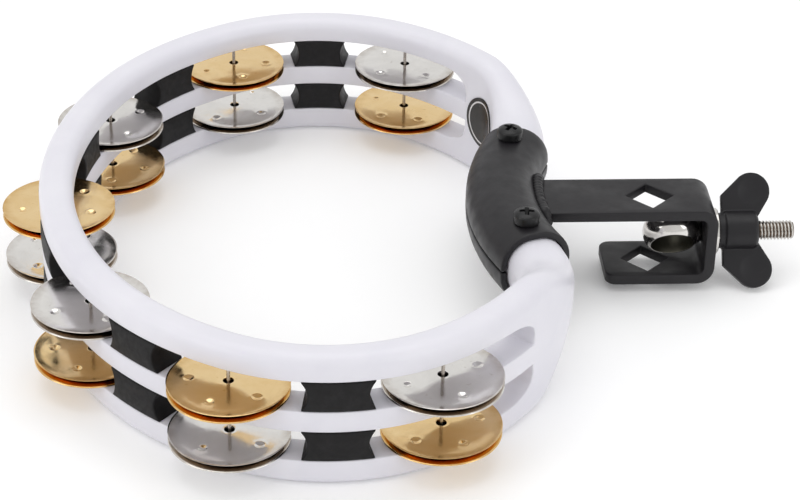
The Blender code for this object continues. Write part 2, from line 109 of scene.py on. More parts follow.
# --- clamp ---
GAP = 0.3 * MM
SHELL_T = 2.4 * MM
SADDLE_HALF = 40.5 * MM
SCREW_Y = 31.0 * MM
SCREW_R = 2.5 * MM
SCREW_HOLE_R = 2.8 * MM
SCREW_HEAD_R = 4.7 * MM
SCREW_HEAD_H = 4.4 * MM
SCREW_SIDE = 0.62                  # share of the head's height below its crown
ARM_W = 25.0 * MM
ARM_T = 4.0 * MM
ARM_TOP_Z = 33.4 * MM
ARM_START_X = 48.5 * MM
ARM_END_X = 113.5 * MM
LEG_END_X = 73.9 * MM
LEG_BOTTOM_Z = 2.8 * MM
WELD_OUT = 0.3 * MM
WELD_R = 1.95 * MM
WELD_RIPPLE = 1.9 * MM
BEND_R = 6.5 * MM
DIAMOND_X = 89.6 * MM
DIAMOND_HALF = 8.8 * MM
BOLT_Z = 18.1 * MM
BOLT_R = 3.6 * MM
BOLT_HOLE_R = 3.75 * MM
BOLT_END_X = 143.7 * MM
THREAD_PITCH = 1.25 * MM
THREAD_DEPTH = 0.72 * MM
EYE_R = 10.5 * MM
EYE_HOLE_R = 7.7 * MM
EYE_HALF_H = 5.2 * MM
EYE_TURN = math.radians(-55.0)
EYE_X = ARM_END_X - ARM_T - GAP - EYE_R
THREAD_FROM_X = ARM_END_X - ARM_T
WASHER_R = 8.5 * MM
WASHER_T = 1.5 * MM
HUB_R = 7.2 * MM
HUB_END_X = 130.3 * MM
WING_T = 3.0 * MM
WING_TURN = math.radians(-37.0)
WING_ROOT = 3.8 * MM
WING_LOBE = (128.6 * MM, 14.4 * MM, 6.9 * MM)
LABEL_S = 256.8 * MM
LABEL_Z = 24.3 * MM
LABEL_HALF = (10.6 * MM, 10.6 * MM)

# --- colours used by two materials: face and shade ---
CHROME = ((0.72, 0.70, 0.67), (0.60, 0.58, 0.55))

# --- floor and camera ---
FLOOR_Z = -0.4 * MM
CAMERA_TARGET = Vector((-3.05 * MM, -34.9 * MM, 32.3 * MM))
CAMERA_DISTANCE = 815.1 * MM
CAMERA_AZIMUTH = math.radians(-3.71)
CAMERA_ELEVATION = math.radians(31.01)
CAMERA_ROLL = math.radians(1.28)
CAMERA_LENS = 105.2


def mix(a, b, t):
    return a + (b - a) * t


def smoothstep(start, end, value):
    t = min(max((value - start) / (end - start), 0.0), 1.0)
    return t * t * (3.0 - 2.0 * t)


def spread(start, end, count):
    return [mix(start, end, k / count) for k in range(count + 1)]


# ---------------- materials

class Paint:
    """A Principled material whose texture nodes are added by name."""

    def __init__(self, name, metallic, roughness):
        self.material = bpy.data.materials.new(name)
        self.material.use_nodes = True
        self.tree = self.material.node_tree
        self.shader = self.tree.nodes["Principled BSDF"]
        self.shader.inputs["Metallic"].default_value = metallic
        self.shader.inputs["Roughness"].default_value = roughness
        self.coords = self.node("TexCoord").outputs["Object"]

    def node(self, kind):
        return self.tree.nodes.new("ShaderNode" + kind)

    def link(self, a, b):
        self.tree.links.new(a, b)

    def shift_by_object(self):
        """Give each object that shares this material its own patch of the noise."""
        seed = self.node("ObjectInfo").outputs["Random"]
        scaled = self.times(seed, 3.0)
        add = self.node("VectorMath")
        add.operation = "ADD"
        self.link(self.coords, add.inputs[0])
        self.link(scaled, add.inputs[1])
        self.coords = add.outputs[0]

    def noise(self, scale, detail=3.0, roughness=0.5, distortion=0.0):
        node = self.node("TexNoise")
        node.inputs["Scale"].default_value = scale
        node.inputs["Detail"].default_value = detail
        node.inputs["Roughness"].default_value = roughness
        node.inputs["Distortion"].default_value = distortion
        self.link(self.coords, node.inputs["Vector"])
        return node.outputs["Fac"]

    def math(self, operation, a, b=None):
        node = self.node("Math")
        node.operation = operation
        for socket, value in zip(node.inputs, (a, b)):
            if value is None:
                continue
            if isinstance(value, (int, float)):
                socket.default_value = value
            else:
                self.link(value, socket)
        return node.outputs[0]

    def remap(self, value, low, high, to_low, to_high):
        node = self.node("MapRange")
        for key, number in (("From Min", low), ("From Max", high),
                            ("To Min", to_low), ("To Max", to_high)):
            node.inputs[key].default_value = number
        self.link(value, node.inputs["Value"])
        return node.outputs["Result"]

    def blend(self, factor, first, second):
        node = self.node("Mix")
        node.data_type = "RGBA"
        self.link(factor, node.inputs["Factor"])
        for socket, colour in ((node.inputs[6], first), (node.inputs[7], second)):
            if isinstance(colour, tuple):
                socket.default_value = (*colour, 1.0)
            else:
                self.link(colour, socket)
        return node.outputs[2]

    def colour(self, value):
        self.link(value, self.shader.inputs["Base Color"])

    def rough(self, value):
        self.link(value, self.shader.inputs["Roughness"])

    def bump(self, height, strength, distance, under=None):
        node = self.node("Bump")
        node.inputs["Strength"].default_value = strength
        node.inputs["Distance"].default_value = distance
        self.link(height, node.inputs["Height"])
        if under is not None:
            self.link(under, node.inputs["Normal"])
        self.link(node.outputs["Normal"], self.shader.inputs["Normal"])
        return node.outputs["Normal"]

    def axes(self):
        """The piece's own X, Y and Z."""
        split = self.node("SeparateXYZ")
        self.link(self.coords, split.inputs[0])
        return split.outputs

    def times(self, a, b):
        return self.math("MULTIPLY", a, b)

    def length(self, a, b):
        return self.math("SQRT", self.math("ADD", self.times(a, a), self.times(b, b)))

    def radius(self):
        """Distance from the piece's own Z axis."""
        x, y, _ = self.axes()
        return self.length(x, y)

    def channel(self, radius):
        """Mask of the painted shade on the turned-out inner face near a disc's rim, the face that looks
        into the gap of the pair.
        """
        lip = self.remap(radius, DISC_FLAT_R, DISC_R, 0.0, 1.0)
        face = self.times(self.math("POWER", lip, DISC_LIP_CURVE), DISC_INNER_LIP)
        above = self.math("SUBTRACT", self.math("ABSOLUTE", self.axes()[2]), face)
        low = self.remap(above, 0.12 * MM, 0.20 * MM, 1.0, 0.0)
        rim = self.remap(radius, DISC_R - 0.45 * MM, DISC_R - 0.35 * MM, 1.0, 0.0)
        start = self.remap(radius, 15.0 * MM, 16.2 * MM, 0.0, 1.0)
        return self.times(low, self.times(rim, start))

    def distance_from_line(self, first, second, centre):
        """Distance from a line, given two directions square to it and a point on it."""
        offsets = []
        for direction in (first, second):
            node = self.node("VectorMath")
            node.operation = "DOT_PRODUCT"
            node.inputs[1].default_value = direction
            self.link(self.coords, node.inputs[0])
            offsets.append(self.math("SUBTRACT", node.outputs["Value"], Vector(direction).dot(centre)))
        return self.length(*offsets)

    def cloudy(self, face, deep):
        """Two tones of one metal in soft clouds."""
        cloud = self.remap(self.noise(120.0, 5.0, 0.6), 0.35, 0.7, 0.0, 1.0)
        return self.blend(cloud, face, deep)

    def handled(self, low, high):
        """Roughness that varies as handling leaves it."""
        return self.remap(self.noise(420.0, 5.0, 0.7, 1.0), 0.3, 0.75, low, high)


def white_plastic():
    """Moulded plastic: faint flow marks, soft gloss and a very fine skin texture."""
    paint = Paint("white_plastic", 0.0, 0.36)
    paint.shader.inputs["Subsurface Weight"].default_value = 0.08
    paint.shader.inputs["Subsurface Radius"].default_value = (0.004, 0.0035, 0.004)
    paint.shader.inputs["Subsurface Scale"].default_value = 1.0
    flow = paint.remap(paint.noise(22.0, 4.0, 0.55, 0.8), 0.3, 0.7, 0.0, 1.0)
    paint.colour(paint.blend(flow, (0.715, 0.705, 0.765), (0.775, 0.765, 0.815)))
    paint.rough(paint.remap(paint.noise(140.0, 3.0), 0.3, 0.7, 0.30, 0.42))
    broad = paint.bump(paint.noise(45.0, 2.0), 0.25, 0.0006)
    paint.bump(paint.noise(2600.0, 2.0), 0.10, 0.00006, broad)
    return paint.material


def post_plastic():
    """Matte black moulding with a grained skin and a little dust."""
    paint = Paint("post_plastic", 0.0, 0.55)
    dust = paint.remap(paint.noise(260.0, 6.0, 0.7), 0.48, 0.75, 0.0, 1.0)
    paint.colour(paint.blend(dust, (0.006, 0.0055, 0.006), (0.013, 0.012, 0.013)))
    paint.shader.inputs["Specular IOR Level"].default_value = 0.25
    paint.rough(paint.remap(paint.noise(500.0, 3.0), 0.3, 0.7, 0.45, 0.62))
    paint.bump(paint.noise(2200.0, 3.0), 0.35, 0.00012)
    return paint.material


def jingle_metal(name, face, deep, tarnish, channel):
    """Polished sheet metal: spun rings, cloudy polish and tarnish towards the rim."""
    paint = Paint(name, 1.0, 0.14)
    radius = paint.radius()
    # inner masks the painted shade on the faces that look into the gap between a pair's discs.
    inner = paint.channel(radius)
    paint.shift_by_object()
    rim = paint.remap(radius, 16.2 * MM, DISC_R, 0.0, 1.0)
    cloud = paint.noise(90.0, 5.0, 0.6, 0.6)
    body = paint.blend(paint.remap(cloud, 0.35, 0.7, 0.0, 1.0), face, deep)
    stain = paint.times(rim, paint.remap(paint.noise(230.0, 4.0, 0.6), 0.35, 0.65, 0.15, 0.75))
    spots = paint.remap(paint.noise(520.0, 2.0), 0.68, 0.78, 0.0, 0.5)
    outside = paint.blend(paint.math("MAXIMUM", stain, spots), body, tarnish)
    # Those inner faces take the painted shade colour, darker than the open metal.
    paint.colour(paint.blend(inner, outside, channel))
    smear = paint.noise(160.0, 5.0, 0.65, 1.2)
    paint.rough(paint.remap(smear, 0.3, 0.75, 0.07, 0.24))
    rings = paint.math("SINE", paint.times(radius, 16000.0))
    spun = paint.bump(rings, 0.05, 0.00002)
    paint.bump(paint.noise(320.0, 4.0), 0.10, 0.00012, spun)
    return paint.material


def coated_steel(name, grey, low, high):
    """Black powder coat: orange peel, faint scuffs and a slightly uneven sheen."""
    paint = Paint(name, 0.0, 0.4)
    paint.shader.inputs["Specular IOR Level"].default_value = 0.38
    scuff = paint.remap(paint.noise(150.0, 7.0, 0.72, 2.0), 0.56, 0.74, 0.0, 1.0)
    light = tuple(1.45 * c for c in grey)
    paint.colour(paint.blend(scuff, grey, light))
    paint.rough(paint.remap(paint.noise(210.0, 4.0), 0.3, 0.7, low, high))
    peel = paint.bump(paint.noise(1100.0, 2.0), 0.16, 0.0001)
    paint.bump(paint.noise(90.0, 2.0), 0.12, 0.0004, peel)
    return paint.material


def bright_metal(name, face, deep, low, high, bump):
    """Plated metal: cloudy polish, fine handling marks and small waves."""
    paint = Paint(name, 1.0, low)
    paint.colour(paint.cloudy(face, deep))
    paint.rough(paint.handled(low, high))
    paint.bump(paint.noise(260.0, 3.0), bump, 0.00012)
    return paint.material


def bolt_steel():
    """Plated steel, with painted shade and dark reflection inside the eye's bore, and darker brown in the
    thread's grooves.
    """
    paint = Paint("bolt_steel", 1.0, 0.1)
    centre = Vector((EYE_X, 0.0, BOLT_Z))
    square = (0.0, math.cos(EYE_TURN), math.sin(EYE_TURN))
    from_bore = paint.distance_from_line((1.0, 0.0, 0.0), square, centre)
    from_shank = paint.distance_from_line((0.0, 1.0, 0.0), (0.0, 0.0, 1.0), centre)
    # Painted shade: the inside of the eye's bore is coloured near-black to stand for shade and dark
    # reflections.
    bore = paint.remap(from_bore, EYE_HOLE_R + 0.1 * MM, EYE_HOLE_R + 0.3 * MM, 1.0, 0.0)
    threaded = paint.remap(paint.axes()[0], THREAD_FROM_X, THREAD_FROM_X + 0.5 * MM, 0.0, 1.0)
    deep = paint.remap(from_shank, BOLT_R - THREAD_DEPTH, BOLT_R - 0.25 * MM, 1.0, 0.0)
    groove = paint.times(threaded, deep)
    # The thread's grooves are coloured darker brown.
    grooves_darkened = paint.blend(groove, paint.cloudy(*CHROME), (0.16, 0.115, 0.08))
    # Painted shade inside the eye's bore.
    paint.colour(paint.blend(bore, grooves_darkened, (0.10, 0.095, 0.075)))
    paint.rough(paint.math("MAXIMUM", paint.handled(0.07, 0.22), paint.times(bore, 0.4)))
    paint.bump(paint.noise(260.0, 3.0), 0.12, 0.00012)
    return paint.material


def label_film(name, dark, light):
    """Smooth film with a faint mottle."""
    paint = Paint(name, 0.0, 0.3)
    paint.colour(paint.blend(paint.remap(paint.noise(400.0, 4.0), 0.35, 0.7, 0.0, 1.0), dark, light))
    paint.rough(paint.remap(paint.noise(300.0, 3.0), 0.3, 0.7, 0.25, 0.4))
    paint.bump(paint.noise(900.0, 2.0), 0.08, 0.00005)
    return paint.material


def floor_paint():
    paint = Paint("floor_paper", 0.0, 0.8)
    paint.colour(paint.blend(paint.noise(3.0, 2.0), (0.90, 0.90, 0.905), (0.93, 0.93, 0.93)))
    paint.shader.inputs["Emission Color"].default_value = (1.0, 1.0, 1.0, 1.0)
    paint.shader.inputs["Emission Strength"].default_value = 0.12
    return paint.material


# ---------------- mesh helpers

def add_piece(name, bm, mat, body, nodes, smooth_angle=35):
    """Link a bmesh as a finished piece that rides on a body and stands for CAD nodes."""
    piece = plain_object(name, bm, smooth_angle)
    finish_piece(piece, mat, body, nodes)
    return piece


def smooth(mesh, sharp_from):
    """Smooth shading, with edges sharper than an angle in degrees left hard."""
    mesh.shade_smooth()
    mesh.set_sharp_from_angle(angle=math.radians(sharp_from))


def outward_mesh(name, bm, sharp_from):
    """Turn a bmesh into a mesh whose faces look outwards."""
    bmesh.ops.recalc_face_normals(bm, faces=bm.faces[:])
    mesh = bpy.data.meshes.new(name)
    bm.to_mesh(mesh)
    bm.free()
    smooth(mesh, sharp_from)
    return mesh


def plain_object(name, bm, smooth_angle=35):
    obj = bpy.data.objects.new(name, outward_mesh(name, bm, smooth_angle))
    bpy.context.collection.objects.link(obj)
    return obj


def finish_piece(piece, mat, body, nodes):
    """Give a piece its material, its body and the CAD nodes it stands for."""
    piece.data.materials.clear()
    piece.data.materials.append(mat)
    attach(piece, body)
    if nodes:
        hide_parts(*nodes)


def add_bevel(obj, width, segments, angle):
    mod = obj.modifiers.new("Edges", "BEVEL")
    mod.width = width
    mod.segments = segments
    mod.limit_method = "ANGLE"
    mod.angle_limit = math.radians(angle)
    mod.use_clamp_overlap = True


def add_boolean(obj, other, operation):
    mod = obj.modifiers.new(operation.title(), "BOOLEAN")
    mod.operation = operation
    mod.solver = "EXACT"
    mod.object = other


def bake(obj, helpers=(), smooth_angle=35):
    """Replace the mesh by what its modifiers make, and remove the helper objects."""
    graph = bpy.context.evaluated_depsgraph_get()
    mesh = bpy.data.meshes.new_from_object(obj.evaluated_get(graph))
    obj.modifiers.clear()
    obj.data = mesh
    smooth(mesh, smooth_angle)
    for helper in helpers:
        bpy.data.objects.remove(helper, do_unlink=True)


def skin(bm, rings, closed_ends=True, closed_loop=False):
    """Join rings of points with quads; the ends are filled, or the last meets the first."""
    loops = [[bm.verts.new(p) for p in ring] for ring in rings]
    count = len(loops[0])
    pairs = list(zip(loops, loops[1:]))
    if closed_loop:
        pairs.append((loops[-1], loops[0]))
    for a, b in pairs:
        for k in range(count):
            n = (k + 1) % count
            bm.faces.new((a[k], a[n], b[n], b[k]))
    if closed_ends and not closed_loop:
        bm.faces.new(loops[0])
        bm.faces.new(loops[-1])
    return loops


def turned(bm, profile, segments):
    """Solid turned round Z from an outline of (radius, z); points on the axis become one vertex."""
    columns = []
    shared = {j: bm.verts.new((0.0, 0.0, z)) for j, (r, z) in enumerate(profile) if r <= 0.0}
    for k in range(segments):
        angle = 2.0 * math.pi * k / segments
        columns.append([shared[j] if j in shared
                        else bm.verts.new((r * math.cos(angle), r * math.sin(angle), z))
                        for j, (r, z) in enumerate(profile)])
    count = len(profile)
    last = count - 1 if shared else count
    for k in range(segments):
        a = columns[k]
        b = columns[(k + 1) % segments]
        for j in range(last):
            n = (j + 1) % count
            quad = list(dict.fromkeys((a[j], b[j], b[n], a[n])))
            if len(quad) > 2:
                bm.faces.new(quad)


def arc(cx, cz, radius, start, end, steps):
    """Points on an arc between two angles in degrees."""
    angles = [math.radians(a) for a in spread(start, end, steps)]
    return [(cx + radius * math.cos(a), cz + radius * math.sin(a)) for a in angles]


def prism(bm, centre, radius, low, high, sides):
    """Upright prism with a regular outline."""
    circle = [2.0 * math.pi * k / sides for k in range(sides)]
    skin(bm, [[(centre[0] + radius * math.cos(a), centre[1] + radius * math.sin(a), z)
               for a in circle] for z in (low, high)])


def on_bolt_axis(x):
    """Place that carries a shape turned round Z onto the bolt's axis, starting at x."""
    return Matrix.Translation((x, 0.0, BOLT_Z)) @ Matrix.Rotation(math.pi / 2.0, 4, "Y")


def along_x(bm, start, end, radius, segments):
    """Closed cylinder on the bolt's axis."""
    circle = [2.0 * math.pi * k / segments for k in range(segments)]
    skin(bm, [[(x, radius * math.cos(a), BOLT_Z + radius * math.sin(a)) for a in circle]
              for x in (start, end)])


# ---------------- outline

def tangent_corner(shoulder, bow):
    """Centre of the corner arc that meets the shoulder's arc and the handle's bow smoothly."""
    r1 = SHOULDER_R - CORNER_R
    r2 = HANDLE_BOW_R + CORNER_R
    line = bow - shoulder
    dist = line.length
    along = (r1 * r1 - r2 * r2 + dist * dist) / (2.0 * dist)
    across = math.sqrt(r1 * r1 - along * along)
    unit = line / dist
    return shoulder + unit * along + Vector((-unit.y, unit.x)) * across


def outline_arcs():
    """Arcs of half the middle line: centre, radius, start angle, signed turn (all radians)."""
    arcs = []
    centre = Vector((LEFT_X + LEFT_ARCS[0][0], 0.0))
    angle = math.pi
    radius = LEFT_ARCS[0][0]
    for next_radius, turn in LEFT_ARCS:
        centre = centre + Vector((math.cos(angle), math.sin(angle))) * (radius - next_radius)
        radius = next_radius
        arcs.append((centre.copy(), radius, angle, -math.radians(turn)))
        angle -= math.radians(turn)
    shoulder = centre + Vector((math.cos(angle), math.sin(angle))) * (radius - SHOULDER_R)
    bow = Vector((HANDLE_X + HANDLE_BOW_R, 0.0))
    corner = tangent_corner(shoulder, bow)
    out = corner - shoulder
    corner_angle = math.atan2(out.y, out.x)
    arcs.append((shoulder, SHOULDER_R, angle, corner_angle - angle))
    to_bow = bow - corner
    bow_angle = math.atan2(to_bow.y, to_bow.x)
    arcs.append((corner, CORNER_R, corner_angle, bow_angle - corner_angle))
    arcs.append((bow, HANDLE_BOW_R, math.pi + bow_angle, -bow_angle))
    return arcs


ARCS = outline_arcs()
HALF_LENGTH = sum(radius * abs(turn) for _, radius, _, turn in ARCS)


def on_outline(s):
    """Point on the middle line and the outward normal there, s metres from the left end."""
    rest = min(abs(s), HALF_LENGTH)
    for centre, radius, start, turn in ARCS:
        length = radius * abs(turn)
        if rest <= length or centre is ARCS[-1][0]:
            angle = start + turn * rest / length
            radial = Vector((math.cos(angle), math.sin(angle)))
            point = centre + radial * radius
            normal = radial if turn < 0.0 else -radial
            break
        rest -= length
    if s < 0.0:
        point.y = -point.y
        normal.y = -normal.y
    return point, normal


def wall_point(s, out, z):
    """Point beside the middle line: out is measured along the outward normal."""
    point, normal = on_outline(s)
    flat = point + normal * out
    return Vector((flat.x, flat.y, z))


def wall_size(s):
    """Width, bottom, top and corner radii of the frame's section at s."""
    from_handle = HALF_LENGTH - abs(s)
    widen = smoothstep(WALL_WIDENS_FROM, WALL_WIDENS_TO, from_handle)
    drop = smoothstep(TOP_DROPS_FROM, TOP_DROPS_TO, from_handle)
    width = mix(WALL_W, HANDLE_W, widen)
    bottom = mix(0.0, HANDLE_Z - HANDLE_H / 2.0, drop)
    top = mix(FRAME_H, HANDLE_Z + HANDLE_H / 2.0, drop)
    top_r = min(mix(WALL_TOP_R, HANDLE_R, max(widen * 0.6, drop)), width * 0.45)
    bottom_r = min(mix(WALL_BOTTOM_R, HANDLE_R, max(widen * 0.6, drop)), width * 0.45)
    return width, bottom, top, top_r, bottom_r


def jingle_places():
    """Distances of the seven pins along the middle line."""
    return [-s for s in reversed(JINGLE_S[1:])] + list(JINGLE_S)


# ---------------- frame ring

ROUND_STEPS = 7
EDGE_ROWS = tuple(ROUND_STEPS + 1 + k for k in range(4))   # the openings' floor and ceiling rows


def slot_rows(s, low, high):
    """Heights of the four rows that carry the openings' edges."""
    into_end = min(max(abs(s) - (SLOT_HALF - SLOT_END_LENGTH), 0.0) / SLOT_END_LENGTH, 1.0)
    trim = SLOT_END_DROP * (1.0 - math.sqrt(1.0 - into_end ** 2))
    rows = [SLOT_Z[0] + trim, SLOT_Z[0] + SLOT_H, SLOT_Z[1], SLOT_Z[1] + SLOT_H - trim]
    if abs(s) <= SLOT_HALF:
        return rows
    flat = FRAME_H - WALL_TOP_R - WALL_BOTTOM_R
    return [mix(low, high, (z - WALL_BOTTOM_R) / flat) for z in rows]


def ring_side(s):
    """(out, z) points of one side of the section, from the bottom to the top."""
    width, bottom, top, top_r, bottom_r = wall_size(s)
    half = width / 2.0
    low = bottom + bottom_r
    high = top - top_r
    points = arc(half - bottom_r, low, bottom_r, -90.0, 0.0, ROUND_STEPS)
    points += [(half, z) for z in slot_rows(s, low, high)]
    points += arc(half - top_r, high, top_r, 0.0, 90.0, ROUND_STEPS)
    return points


def ring_stations():
    """Places of the ring's sections, closer together where the openings end."""
    straight = SLOT_HALF - SLOT_END_LENGTH
    half = spread(0.0, straight, round(straight / STATION_STEP))
    half += [SLOT_HALF - SLOT_END_LENGTH * (1.0 - math.sin(math.radians(a)))
             for a in (12, 24, 36, 48, 60, 72, 90)]
    solid = HALF_LENGTH - SLOT_HALF
    half += spread(SLOT_HALF, HALF_LENGTH, round(solid / (0.75 * STATION_STEP)))[1:]
    return [-s for s in reversed(half[1:])] + half[:-1]


def make_ring(mat):
    """The whole moulded frame, with its two long openings and softened edges."""
    stations = ring_stations()
    bm = bmesh.new()
    outer = []
    inner = []
    for s in stations:
        side = ring_side(s)
        outer.append([bm.verts.new(wall_point(s, out, z)) for out, z in side])
        inner.append([bm.verts.new(wall_point(s, -out, z)) for out, z in side])
    rows = len(outer[0])
    open_rows = (EDGE_ROWS[0], EDGE_ROWS[2])
    for k, s in enumerate(stations):
        n = (k + 1) % len(stations)
        inside = abs(s) <= SLOT_HALF + 1e-9 and abs(stations[n]) <= SLOT_HALF + 1e-9
        for j in range(rows - 1):
            if inside and j in open_rows:
                continue
            bm.faces.new((outer[k][j], outer[n][j], outer[n][j + 1], outer[k][j + 1]))
            bm.faces.new((inner[k][j], inner[k][j + 1], inner[n][j + 1], inner[n][j]))
        bm.faces.new((outer[k][-1], outer[n][-1], inner[n][-1], inner[k][-1]))
        bm.faces.new((outer[n][0], outer[k][0], inner[k][0], inner[n][0]))
        if inside:
            for j in EDGE_ROWS:
                quad = (outer[k][j], outer[n][j], inner[n][j], inner[k][j])
                bm.faces.new(quad if j in open_rows else tuple(reversed(quad)))
        if abs(abs(s) - SLOT_HALF) < 1e-9:
            for j in open_rows:
                bm.faces.new((outer[k][j], outer[k][j + 1], inner[k][j + 1], inner[k][j]))
    ring = plain_object("moulded_frame", bm)
    add_bevel(ring, SLOT_EDGE, 3, 55.0)
    bake(ring, (), 50)
    finish_piece(ring, mat, "frame", ["frame_ring"])


# ---------------- posts, pins, jingles

def make_posts(mat):
    """Hourglass posts, slightly crowned, with softened edges."""
    places = jingle_places()
    height = SLOT_H - 2.0 * POST_GAP
    flare = POST_TOP_HALF - POST_WAIST_HALF
    end_r = ((height / 2.0) ** 2 + flare ** 2) / (2.0 * flare)
    out = WALL_W / 2.0 + POST_PROUD
    across = spread(-1.0, 1.0, 8)
    for row, floor in enumerate(SLOT_Z):
        for number, (a, b) in enumerate(zip(places, places[1:]), start=1):
            middle = (a + b) / 2.0
            rings = []
            for z in spread(-height / 2.0, height / 2.0, 14):
                half = POST_WAIST_HALF + end_r - math.sqrt(end_r ** 2 - z ** 2)
                crown = out - POST_CROWN * (2.0 * z / height) ** 2
                level = floor + SLOT_H / 2.0 + z
                ring = [wall_point(middle + half * t, crown, level) for t in across]
                ring += [wall_point(middle + half * t, -crown, level) for t in reversed(across)]
                rings.append(ring)
            name = f"post_{ROW_NAMES[row]}_{number}"
            bm = bmesh.new()
            skin(bm, rings)
            post = plain_object("moulded_" + name, bm)
            add_bevel(post, 0.45 * MM, 2, 50.0)
            bake(post, (), 50)
            finish_piece(post, mat, "frame", [name])


def make_pins(mat):
    """Plain wire pins with a ground point at the top end."""
    profile = [(0.0, PIN_BOTTOM_Z), (PIN_R, PIN_BOTTOM_Z), (PIN_R, PIN_TOP_Z - PIN_R),
               (0.35 * PIN_R, PIN_TOP_Z), (0.0, PIN_TOP_Z)]
    for number, s in enumerate(jingle_places(), start=1):
        bm = bmesh.new()
        turned(bm, profile, 16)
        point, _ = on_outline(s)
        bm.transform(Matrix.Translation((point.x, point.y, 0.0)))
        add_piece(f"wire_pin_{number}", bm, mat, "frame", [f"pin_{number}"])


def disc_angles(dimples):
    """Angles round a disc, closer together at its dimples."""
    angles = []
    half = 180.0 / dimples
    for number in range(dimples):
        centre = half * (2 * number + 1)
        angles += spread(centre - half, centre - 10.0, 6)[:-1]
        angles += spread(centre - 10.0, centre + 10.0, 14)[:-1]
        angles += spread(centre + 10.0, centre + half, 6)[:-1]
    return [math.radians(a) for a in angles]


def disc_height(radius, angle, seed, dimples, lip_height):
    """Rise of a disc's face: low dome, pressed dimples if any, turned lip and small waves."""
    x = radius * math.cos(angle)
    y = radius * math.sin(angle)
    height = DISC_DOME_H * (1.0 - smoothstep(0.0, DISC_DOME_R, radius))
    lip = max(radius - DISC_FLAT_R, 0.0) / (DISC_R - DISC_FLAT_R)
    height += lip_height * lip ** DISC_LIP_CURVE
    for number in range(dimples):
        at = math.radians(180.0 / dimples * (2 * number + 1))
        far = math.hypot(x - DIMPLE_AT * math.cos(at), y - DIMPLE_AT * math.sin(at)) / DIMPLE_R
        height -= DIMPLE_DEPTH * max(1.0 - far ** 2, 0.0)
        height += DIMPLE_RIM * math.exp(-((far - 1.15) / 0.4) ** 2)
    wave = noise.noise(Vector((x, y, seed)) * 85.0) + 0.5 * noise.noise(Vector((y, x, seed)) * 170.0)
    return height + DISC_WAVE * wave * (1.0 - lip)


def disc_mesh(name, upper, mat, seed, dimples):
    """A thin dished disc; its inner face looks down on the upper disc and up on the lower."""
    side = 1.0 if upper else -1.0
    radii = [DISC_HOLE_R, DISC_HOLE_R + 0.25 * MM] + spread(2.8 * MM, 9.8 * MM, 6)
    radii += spread(10.5 * MM, 15.1 * MM, 13) + spread(16.0 * MM, DISC_R - DISC_EDGE, 10) + [DISC_R]
    faces = []
    bm = bmesh.new()
    angles = disc_angles(dimples)
    for lift, lip_height, pressed in ((0.0, DISC_INNER_LIP, 0), (DISC_T, DISC_OUTER_LIP, dimples)):
        columns = []
        for angle in angles:
            column = []
            for radius in radii:
                edge = min(radius - DISC_HOLE_R, DISC_R - radius) / DISC_EDGE
                rounding = DISC_ROUNDING * (1.0 - min(edge, 1.0)) * (1.0 if lift == 0.0 else -1.0)
                z = disc_height(radius, angle, seed, pressed, lip_height) + lift + rounding
                column.append(bm.verts.new((radius * math.cos(angle), radius * math.sin(angle), side * z)))
            columns.append(column)
        faces.append(columns)
    count = len(angles)
    for columns in faces:
        for k in range(count):
            a = columns[k]
            b = columns[(k + 1) % count]
            for j in range(len(radii) - 1):
                bm.faces.new((a[j], a[j + 1], b[j + 1], b[j]))
    for k in range(count):
        n = (k + 1) % count
        for j in (0, -1):
            bm.faces.new((faces[0][k][j], faces[0][n][j], faces[1][n][j], faces[1][k][j]))
    mesh = outward_mesh(name, bm, 50)
    mesh.materials.append(mat)
    return mesh


def make_jingles(gold, silver):
    """A pair of dished discs on each pin in each row; gold and silver pairs alternate."""
    meshes = {}
    for tone, mat, seed in (("gold", gold, 0.13), ("silver", silver, 0.71)):
        meshes[tone, "lower"] = disc_mesh(f"disc_{tone}_lower", False, mat, seed, DIMPLES[tone])
        meshes[tone, "upper"] = disc_mesh(f"disc_{tone}_upper", True, mat, seed + 0.4, DIMPLES[tone])
    lifts = {"lower": LOWER_DISC_LIFT, "upper": UPPER_DISC_LIFT}
    for row, floor in enumerate(SLOT_Z):
        for number, s in enumerate(jingle_places(), start=1):
            tone = "gold" if (number + row) % 2 else "silver"
            point, _ = on_outline(s)
            for part, lift in lifts.items():
                node = f"jingle_{ROW_NAMES[row]}_{number}_{part}"
                mesh = meshes[tone, part].copy()
                turn = math.radians(DISC_TURN_STEP * number + DISC_TURN_ROW * row)
                mesh.transform(Matrix.Rotation(turn, 4, "Z"))
                disc = bpy.data.objects.new("dished_" + node, mesh)
                disc.location = (point.x, point.y, floor + lift)
                bpy.context.collection.objects.link(disc)
                bpy.context.view_layer.update()
                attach(disc, node)
                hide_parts(node)


def label_point(x, z, lift):
    """Point on the inner wall, x along it and z above the label's middle."""
    s = LABEL_S + x
    return wall_point(s, -wall_size(s)[0] / 2.0 - lift, LABEL_Z + z)


def make_label(film, border):
    """Plain oval label with a thin pale border line, following the inner wall."""
    turns = [2.0 * math.pi * k / 64 for k in range(64)]
    shapes = (("oval_film", film, spread(0.0, 1.0, 8)[1:], (0.12 * MM, 0.42 * MM), ["oval_label"]),
              ("oval_border", border, spread(0.80, 0.86, 2), (0.43 * MM, 0.47 * MM), []))
    for name, mat, shares, lifts, nodes in shapes:
        bm = bmesh.new()
        sheets = [[[bm.verts.new(label_point(LABEL_HALF[0] * share * math.cos(angle),
                                             LABEL_HALF[1] * share * math.sin(angle), lift))
                    for angle in turns] for share in shares] for lift in lifts]
        joins = [(a, b) for sheet in sheets for a, b in zip(sheet, sheet[1:])]
        joins.append((sheets[0][-1], sheets[1][-1]))
        if nodes:
            for sheet, lift in zip(sheets, lifts):
                centre = bm.verts.new(label_point(0.0, 0.0, lift))
                joins.append(([centre] * len(turns), sheet[0]))
        else:
            joins.append((sheets[0][0], sheets[1][0]))
        for a, b in joins:
            for k in range(len(turns)):
                n = (k + 1) % len(turns)
                bm.faces.new(dict.fromkeys((a[k], a[n], b[n], b[k])))
        add_piece(name, bm, mat, "frame", nodes, 40)


# ---------------- saddle and screws

